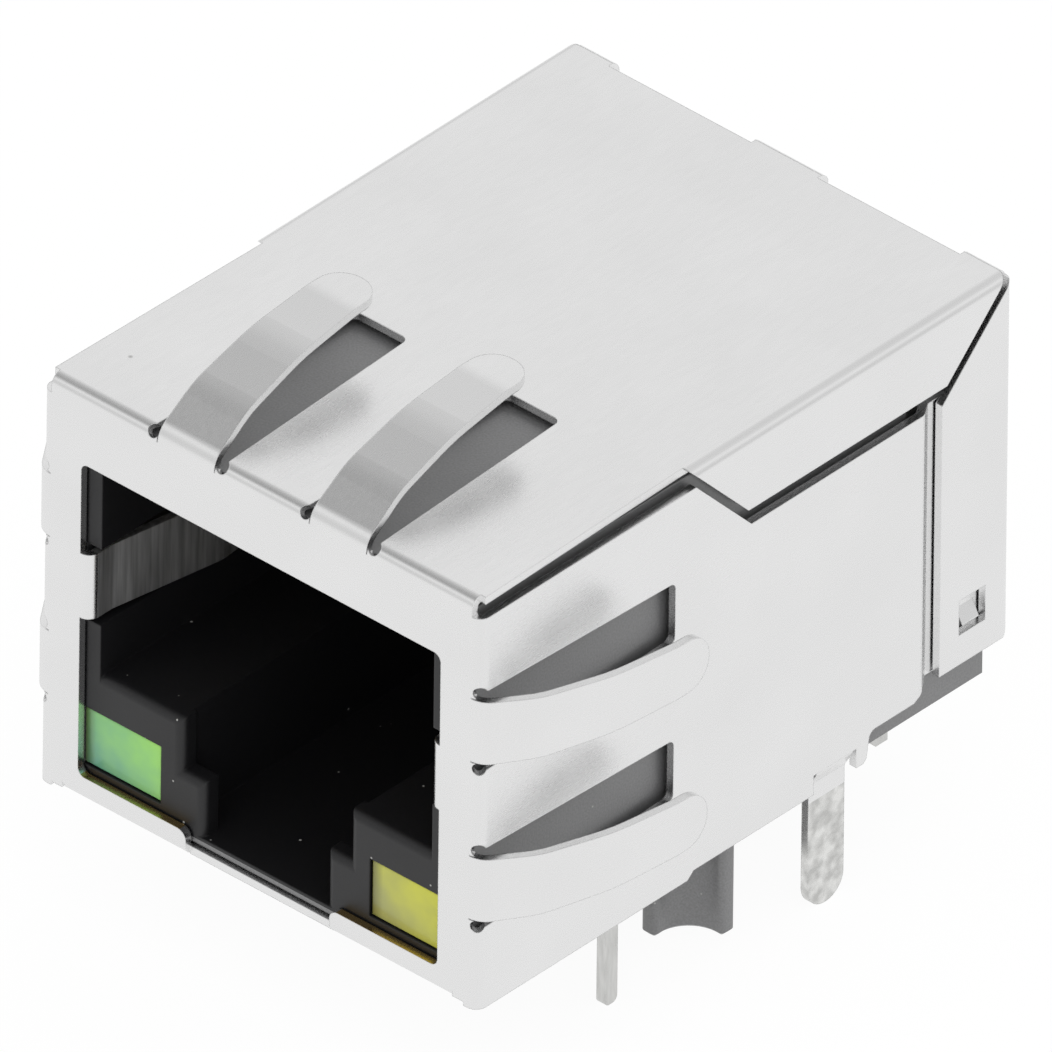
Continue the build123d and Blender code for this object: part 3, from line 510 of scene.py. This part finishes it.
def clouded_resin(name, low, high, deep, pale, sizes):
    """Cast lamp resin, tinted and clouded: milky, under a smooth thin gloss."""
    material, tree, place = start_material(name)
    # The tint pales from the lower left corner to the upper right one
    spot = add_node(tree, "ShaderNodeSeparateXYZ", {"Vector": place})
    across = add_node(tree, "ShaderNodeMapRange", {
        "Value": spot.outputs["X"], "From Min": low.x, "From Max": high.x,
        "To Min": 0.0, "To Max": 0.62})
    upward = add_node(tree, "ShaderNodeMapRange", {
        "Value": spot.outputs["Z"], "From Min": low.z, "From Max": high.z,
        "To Min": 0.0, "To Max": 0.38})
    both = add_node(tree, "ShaderNodeMath", {
        0: across.outputs[0], 1: upward.outputs[0]}, operation="ADD")
    # The pigment hangs in clouds about 0.8 mm wide
    clouds = add_node(tree, "ShaderNodeTexNoise", {
        "Vector": place, "Scale": per_mm(0.8), "Detail": 2.0})
    drift = add_node(tree, "ShaderNodeMapRange", {
        "Value": clouds.outputs[0], "To Min": -0.3, "To Max": 0.3})
    mixed = add_node(tree, "ShaderNodeMath", {
        0: both.outputs[0], 1: drift.outputs[0]}, operation="ADD", use_clamp=True)
    tint = add_node(tree, "ShaderNodeMix", {
        0: mixed.outputs[0], 6: deep, 7: pale}, data_type="RGBA")
    # Along its left side the resin is in the shade of the window
    shade = add_node(tree, "ShaderNodeMapRange", {
        "Value": spot.outputs["X"],
        "From Min": low.x, "From Max": low.x + sizes.shade_width,
        "To Min": 0.85, "To Max": 0.0})
    shaded = add_node(tree, "ShaderNodeMix", {
        0: shade.outputs[0], 6: tint.outputs[2], 7: sizes.shade_colour}, data_type="RGBA")
    edge = add_node(tree, "ShaderNodeBevel", {"Radius": sizes.edge_round}, samples=4)
    close_material(tree, {
        "Base Color": shaded.outputs[2], "Roughness": 0.3, "IOR": 1.54,
        "Coat Weight": 0.4, "Coat Roughness": 0.12, "Normal": edge.outputs[0]})
    return material


def solder_mask():
    """Solder mask over glass laminate: satin green, with the weave just showing."""
    material, tree, place = start_material("solder_mask_on_laminate")
    # Glass cloth, a thread every 0.5 mm
    weave = add_node(tree, "ShaderNodeTexChecker", {"Vector": place, "Scale": per_mm(0.5)})
    haze = add_node(tree, "ShaderNodeTexNoise", {"Vector": place, "Scale": per_mm(0.9)})
    threads = add_node(tree, "ShaderNodeMapRange", {
        "Value": weave.outputs["Fac"], "To Min": 0.42, "To Max": 0.58})
    tone = add_node(tree, "ShaderNodeMix", {
        0: threads.outputs[0], 6: linear("1F4D2E"), 7: linear("2E6B40")}, data_type="RGBA")
    spread = add_node(tree, "ShaderNodeMapRange", {
        "Value": haze.outputs[0], "To Min": 0.3, "To Max": 0.45})
    close_material(tree, {
        "Base Color": tone.outputs[2], "Roughness": spread.outputs[0], "IOR": 1.5})
    return material


def fired_ceramic(name, dark, light, roughness, grit):
    """Pressed and fired ceramic, with grains of the given size in mm."""
    material, tree, place = start_material(name)
    grains = add_node(tree, "ShaderNodeTexNoise", {
        "Vector": place, "Scale": per_mm(grit), "Detail": 4.0})
    tone = add_node(tree, "ShaderNodeMix", {
        0: grains.outputs[0], 6: dark, 7: light}, data_type="RGBA")
    pits = add_node(tree, "ShaderNodeBump", {
        "Strength": 0.3, "Distance": 0.01 * MM, "Height": grains.outputs[0]})
    close_material(tree, {
        "Base Color": tone.outputs[2], "Roughness": roughness, "IOR": 1.6,
        "Normal": pits.outputs[0]})
    return material


def enamelled_copper():
    """Copper wire under baked enamel: red-brown and glossy, uneven from turn to turn."""
    material, tree, place = start_material("enamelled_copper")
    patches = add_node(tree, "ShaderNodeTexNoise", {
        "Vector": place, "Scale": per_mm(0.35), "Detail": 3.0})
    tone = add_node(tree, "ShaderNodeMix", {
        0: patches.outputs[0], 6: linear("7A3418"), 7: linear("B5642F")}, data_type="RGBA")
    close_material(tree, {
        "Base Color": tone.outputs[2], "Metallic": 0.6, "Roughness": 0.28, "IOR": 1.55,
        "Coat Weight": 0.8, "Coat Roughness": 0.1})
    return material


# Pieces


def finish_piece(bm, name, material, replaced=()):
    """Turns a mesh under construction into a piece that rides on the jack."""
    bmesh.ops.recalc_face_normals(bm, faces=bm.faces)
    mesh = bpy.data.meshes.new(name)
    bm.to_mesh(mesh)
    bm.free()
    for face in mesh.polygons:
        face.use_smooth = True
    mesh.set_sharp_from_angle(angle=math.radians(40))
    mesh.materials.append(material)
    piece = bpy.data.objects.new(name, mesh)
    bpy.context.scene.collection.objects.link(piece)
    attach(piece, "root")
    if replaced:
        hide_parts(*replaced)


def add_block(bm, low, high, edge_round):
    """Adds a block between two corners, with rounded edges."""
    size = high - low
    place = Matrix.Translation((low + high) / 2) @ Matrix.Diagonal((*size, 1))
    made = bmesh.ops.create_cube(bm, size=1, matrix=place)
    edges = {edge for vert in made["verts"] for edge in vert.link_edges}
    bmesh.ops.bevel(
        bm, geom=list(edges), offset=edge_round, segments=3, profile=0.5,
        affect="EDGES", material=-1)


def add_wire_turn(bm, half_width, half_height, wire_radius):
    """Starts a mesh with one closed turn of wire, in the plane of local X and Z."""
    corner = 2 * wire_radius
    reach_x, reach_z = half_width - corner, half_height - corner
    bmesh.ops.create_circle(
        bm, segments=6, radius=wire_radius,
        matrix=Matrix.Translation((half_width, 0, -reach_z)))
    edges = list(bm.edges)
    for x, z in ((1, 1), (-1, 1), (-1, -1), (1, -1)):
        run = (0, 0, 2 * z * reach_z) if x == z else (2 * x * reach_x, 0, 0)
        grown = bmesh.ops.extrude_edge_only(bm, edges=edges)["geom"]
        front = [g for g in grown if isinstance(g, bmesh.types.BMVert)]
        bmesh.ops.translate(bm, verts=front, vec=run)
        edges = [g for g in grown if isinstance(g, bmesh.types.BMEdge)
                 and all(vert in front for vert in g.verts)]
        last = bmesh.ops.spin(
            bm, geom=edges, cent=(x * reach_x, 0, z * reach_z), axis=(0, -1, 0),
            angle=math.radians(90), steps=3)["geom_last"]
        edges = [g for g in last if isinstance(g, bmesh.types.BMEdge)]
    bmesh.ops.remove_doubles(bm, verts=bm.verts, dist=wire_radius / 20)


class JACK_OT_lamps(Operator):
    """Moulds both lamps with rounded edges, in place of the plain ones"""
    bl_idname = "jack.lamps"
    bl_label = "Lamps"

    def execute(self, context):
        sizes = context.scene.jack_lamps
        tints = {
            "green_lamp": (sizes.green_deep, sizes.green_pale),
            "yellow_lamp": (sizes.yellow_deep, sizes.yellow_pale),
        }
        inner, outer = sizes.inner_step, sizes.outer_step
        for node, side in SIDES.items():
            low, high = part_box(node)
            # The nose in the window is set in from the body on all four sides
            nose_low, nose_high = low.copy(), high.copy()
            nose_low.x += inner if side > 0 else outer
            nose_high.x -= outer if side > 0 else inner
            nose_low.z += sizes.lower_step
            nose_high.z -= sizes.upper_step
            nose_high.y = low.y + sizes.nose_length
            body_low = Vector((low.x, nose_high.y - sizes.edge_round, low.z))
            bm = bmesh.new()
            add_block(bm, nose_low, nose_high, sizes.edge_round)
            add_block(bm, body_low, high, sizes.edge_round)
            deep, pale = tints[node]
            resin = clouded_resin(
                node.replace("lamp", "clouded_resin"), nose_low, nose_high, deep, pale,
                sizes)
            finish_piece(bm, f"{node}_lens", resin, (node,))
        return {"FINISHED"}


class JACK_OT_windings(Operator):
    """Winds each ring core with turns of enamelled wire"""
    bl_idname = "jack.windings"
    bl_label = "Windings"

    def execute(self, context):
        sizes = context.scene.jack_windings
        copper = enamelled_copper()
        for ring in RINGS:
            low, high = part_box(f"{ring}_core")
            centre, half = (low + high) / 2, (high - low) / 2
            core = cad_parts[f"{ring}_core"].data
            bore = min(
                math.hypot(vert.co.x - centre.x, vert.co.z - centre.z)
                for vert in core.vertices)
            outside = sizes.play + sizes.wire / 2
            bm = bmesh.new()
            add_wire_turn(
                bm, (half.x - bore) / 2 + outside, half.y + outside, sizes.wire / 2)
            # One turn lies in the plane through the ring's axis, and is copied round it
            bmesh.ops.rotate(
                bm, verts=bm.verts, cent=(0, 0, 0),
                matrix=Matrix.Rotation(math.radians(90), 3, "X"))
            bmesh.ops.translate(bm, verts=bm.verts, vec=((half.x + bore) / 2, 0, 0))
            first = list(bm.verts) + list(bm.edges) + list(bm.faces)
            for i in range(1, sizes.turns):
                copy = bmesh.ops.duplicate(bm, geom=first)["geom"]
                bmesh.ops.rotate(
                    bm, verts=[g for g in copy if isinstance(g, bmesh.types.BMVert)],
                    cent=(0, 0, 0),
                    matrix=Matrix.Rotation(i * sizes.sweep / sizes.turns, 3, "Y"))
            bmesh.ops.translate(bm, verts=bm.verts, vec=centre)
            finish_piece(
                bm, f"{ring}_wire", copper, (f"{ring}_winding",))
        return {"FINISHED"}


class JACK_OT_solder(Operator):
    """Adds the plated ends of the chips and the solder joints of the contacts"""
    bl_idname = "jack.solder"
    bl_label = "Solder and chip ends"

    def execute(self, context):
        sizes = context.scene.jack_solder
        tin, solder = dipped_tin(), reflowed_solder()
        skin = sizes.cap_thickness
        for chip in CHIPS:
            low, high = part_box(chip)
            axis = max(range(3), key=lambda i: (high - low)[i])
            bm = bmesh.new()
            # Plated on every side but the one against the board, and just short of it
            for start in (low[axis] - skin, high[axis] - sizes.cap_length):
                cap_low = low - Vector((skin, skin, skin))
                cap_high = high + Vector((skin, -skin, skin))
                cap_low[axis] = start
                cap_high[axis] = start + sizes.cap_length + skin
                add_block(bm, cap_low, cap_high, skin)
            finish_piece(bm, f"{chip}_ends", tin)
        board_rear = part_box("filter_board")[1].y
        for contact in CONTACTS:
            low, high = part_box(contact)
            wire = (high.x - low.x) / 2
            # The joint stands on the board's rear, round the tail of its contact
            tail = Vector(((low.x + high.x) / 2, board_rear, high.z - wire))
            bm = bmesh.new()
            bmesh.ops.create_cone(
                bm, cap_ends=True, segments=16, radius1=sizes.joint_radius,
                radius2=wire, depth=sizes.joint_height,
                matrix=Matrix.Translation(tail + Vector((0, sizes.joint_height / 2, 0)))
                @ Matrix.Rotation(math.radians(-90), 4, "X"))
            rim = [edge for edge in bm.edges if edge.calc_length() < wire]
            bmesh.ops.bevel(
                bm, geom=rim, offset=wire / 4, segments=2, profile=0.5, affect="EDGES",
                material=-1)
            finish_piece(bm, f"{contact}_joint", solder)
        return {"FINISHED"}


class JACK_OT_finishes(Operator):
    """Gives every carried-over part its finish"""
    bl_idname = "jack.finishes"
    bl_label = "Finishes"

    def execute(self, context):
        plastic = context.scene.jack_plastic
        tin = dipped_tin()
        carrier = moulded_nylon("moulded_carrier_polymer", plastic.carrier_colour, plastic)
        gold = gold_over_nickel()
        ferrite = fired_ceramic(
            "sintered_ferrite", linear("2A2A2C"), linear("3C3C3F"), 0.6, 0.12)
        glazed = fired_ceramic("glazed_chip", linear("17171A"), linear("26262A"), 0.3, 0.2)
        capacitor = fired_ceramic(
            "fired_capacitor", linear("A88A68"), linear("C8AC88"), 0.45, 0.15)
        finishes = {
            "shield": bright_nickel_plate(context.scene.jack_shield),
            "housing": moulded_nylon(
                "moulded_housing_nylon", plastic.housing_colour, plastic),
            "contact_carrier": carrier,
            "pin_base": carrier,
            "filter_board": solder_mask(),
            "high_voltage_capacitor": capacitor,
        }
        finishes |= {name: gold for name in CONTACTS}
        finishes |= {name: tin for name in SIGNAL_PINS + LAMP_LEADS}
        finishes |= {f"{ring}_core": ferrite for ring in RINGS}
        finishes |= {name: glazed for name in CHIPS if name.startswith("resistor")}
        for name, material in finishes.items():
            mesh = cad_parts[name].data
            mesh.materials.clear()
            mesh.materials.append(material)
        return {"FINISHED"}


class JACK_OT_stage(Operator):
    """Lays the floor, sets the light and places the camera"""
    bl_idname = "jack.stage"
    bl_label = "Stage"

    def execute(self, context):
        settings = context.scene.jack_stage
        self.lay_floor(context, settings)
        self.set_sky(context, settings)
        distance = settings.light_distance
        self.hang_light(
            context, "key_light", settings.key_direction, distance, settings.key_power)
        self.hang_light(
            context, "fill_light", settings.fill_direction, distance, settings.fill_power)
        self.place_camera(context, settings)
        context.scene.view_settings.view_transform = "Standard"
        return {"FINISHED"}

    def lay_floor(self, context, settings):
        """Floor under the pins' tips, white to the eye and a little greyer in reflections."""
        bm = bmesh.new()
        bmesh.ops.create_grid(
            bm, x_segments=1, y_segments=1, size=settings.floor_side / 2,
            matrix=Matrix.Translation((0, 0, cad_low.z)))
        mesh = bpy.data.meshes.new("floor")
        bm.to_mesh(mesh)
        bm.free()
        material = bpy.data.materials.new("painted_floor")
        material.use_nodes = True
        tree = material.node_tree
        tree.nodes.clear()
        rays = add_node(tree, "ShaderNodeLightPath").outputs
        paint = add_node(tree, "ShaderNodeBsdfDiffuse", {"Color": settings.floor_colour})
        glow = add_node(tree, "ShaderNodeMapRange", {
            "Value": rays["Is Glossy Ray"],
            "To Min": settings.floor_shown, "To Max": settings.floor_mirrored})
        white = add_node(tree, "ShaderNodeEmission", {"Strength": glow.outputs[0]})
        seen = add_node(tree, "ShaderNodeMath", {
            0: rays["Is Camera Ray"], 1: rays["Is Glossy Ray"]}, operation="MAXIMUM")
        share = add_node(tree, "ShaderNodeMath", {
            0: seen.outputs[0], 1: settings.floor_glow}, operation="MULTIPLY")
        mixed = add_node(tree, "ShaderNodeMixShader", {
            0: share.outputs[0], 1: paint.outputs[0], 2: white.outputs[0]})
        add_node(tree, "ShaderNodeOutputMaterial", {"Surface": mixed.outputs[0]})
        mesh.materials.append(material)
        floor = bpy.data.objects.new("floor", mesh)
        context.scene.collection.objects.link(floor)

    def set_sky(self, context, settings):
        """Even light, white to the eye, and greyer overhead in reflections."""
        world = bpy.data.worlds.new("studio")
        context.scene.world = world
        world.use_nodes = True
        tree = world.node_tree
        tree.nodes.clear()
        rays = add_node(tree, "ShaderNodeLightPath").outputs
        place = add_node(tree, "ShaderNodeTexCoord").outputs["Generated"]
        spot = add_node(tree, "ShaderNodeSeparateXYZ", {"Vector": place})
        # Y and Z are those of a unit vector: the studio is darkest high up in front, and
        # pales towards the rear
        height = add_node(tree, "ShaderNodeMapRange", {
            "Value": spot.outputs["Z"], "From Min": 0.6, "From Max": 0.76})
        depth = add_node(tree, "ShaderNodeMapRange", {
            "Value": spot.outputs["Y"], "From Min": -0.35, "From Max": 0.75,
            "To Min": settings.shade_front, "To Max": settings.shade_rear})
        dark = add_node(tree, "ShaderNodeMath", {
            0: height.outputs[0], 1: depth.outputs[0]}, operation="MULTIPLY")
        # Near the floor it is dimmer than half way up
        base = add_node(tree, "ShaderNodeMapRange", {
            "Value": spot.outputs["Z"], "From Min": 0.3, "From Max": 0.55,
            "To Min": settings.studio_low, "To Max": settings.studio_middle})
        overhead = add_node(tree, "ShaderNodeMath", {
            0: base.outputs[0], 1: dark.outputs[0]}, operation="SUBTRACT")
        light = add_node(tree, "ShaderNodeBackground", {
            "Color": settings.sky_colour, "Strength": settings.sky_strength})
        white = add_node(tree, "ShaderNodeBackground", {"Strength": 1.0})
        mirrored = add_node(tree, "ShaderNodeBackground", {"Strength": overhead.outputs[0]})
        soft = add_node(tree, "ShaderNodeMixShader", {
            0: rays["Is Glossy Ray"], 1: light.outputs[0], 2: mirrored.outputs[0]})
        whole = add_node(tree, "ShaderNodeMixShader", {
            0: rays["Is Camera Ray"], 1: soft.outputs[0], 2: white.outputs[0]})
        add_node(tree, "ShaderNodeOutputWorld", {"Surface": whole.outputs[0]})

    def hang_light(self, context, name, direction, distance, power):
        """Square soft light that looks at the jack, and isn't mirrored in its plating."""
        data = bpy.data.lights.new(name, "AREA")
        # As wide as it is far away, which makes its shadows soft
        data.size = distance
        data.energy = power
        light = bpy.data.objects.new(name, data)
        aim = Vector(direction).normalized()
        light.location = aim * distance
        light.rotation_euler = aim.to_track_quat("Z", "Y").to_euler()
        light.visible_glossy = False
        context.scene.collection.objects.link(light)

    def place_camera(self, context, settings):
        """Camera at the photograph's angle, with no perspective."""
        turn, lift, roll = settings.azimuth, settings.elevation, settings.roll
        back = Vector((
            math.sin(turn) * math.cos(lift), -math.cos(turn) * math.cos(lift),
            math.sin(lift)))
        level = Vector((math.cos(turn), math.sin(turn), 0))
        right = math.cos(roll) * level + math.sin(roll) * back.cross(level)
        up = back.cross(right)
        data = bpy.data.cameras.new("camera")
        data.type = "ORTHO"
        data.ortho_scale = settings.view_width
        data.clip_start = MM
        camera = bpy.data.objects.new("camera", data)
        place = right * settings.aim_right + up * settings.aim_up
        place += back * settings.camera_distance
        camera.matrix_world = Matrix.Translation(place) @ Matrix((
            right, up, back)).transposed().to_4x4()
        context.scene.collection.objects.link(camera)
        context.scene.camera = camera


class JACK_PT_panel(Panel):
    """Lists the steps that dress the jack, with their settings"""
    bl_idname = "JACK_PT_panel"
    bl_label = "Network jack"
    bl_space_type = "VIEW_3D"
    bl_region_type = "UI"
    bl_category = "Jack"

    def draw(self, context):
        for operator, settings in STEPS:
            box = self.layout.box()
            box.operator(operator.bl_idname)
            for name in settings:
                group = getattr(context.scene, name)
                for key in group.bl_rna.properties.keys():
                    if key not in ("rna_type", "name"):
                        box.prop(group, key)


STEPS = (
    (JACK_OT_stage, ("jack_stage",)),
    (JACK_OT_finishes, ("jack_shield", "jack_plastic")),
    (JACK_OT_lamps, ("jack_lamps",)),
    (JACK_OT_windings, ("jack_windings",)),
    (JACK_OT_solder, ("jack_solder",)),
)
GROUPS = {
    "jack_stage": StageSettings,
    "jack_shield": ShieldSettings,
    "jack_plastic": PlasticSettings,
    "jack_lamps": LampSettings,
    "jack_windings": WindingSettings,
    "jack_solder": SolderSettings,
}


def register():
    for name, group in GROUPS.items():
        bpy.utils.register_class(group)
        setattr(bpy.types.Scene, name, PointerProperty(type=group))
    for operator, _ in STEPS:
        bpy.utils.register_class(operator)
    bpy.utils.register_class(JACK_PT_panel)


def unregister():
    bpy.utils.unregister_class(JACK_PT_panel)
    for operator, _ in reversed(STEPS):
        bpy.utils.unregister_class(operator)
    for name, group in reversed(GROUPS.items()):
        delattr(bpy.types.Scene, name)
        bpy.utils.unregister_class(group)


def main():
    register()
    bpy.ops.jack.stage()
    bpy.ops.jack.finishes()
    bpy.ops.jack.lamps()
    bpy.ops.jack.windings()
    bpy.ops.jack.solder()


if __name__ == "__main__":
    main()
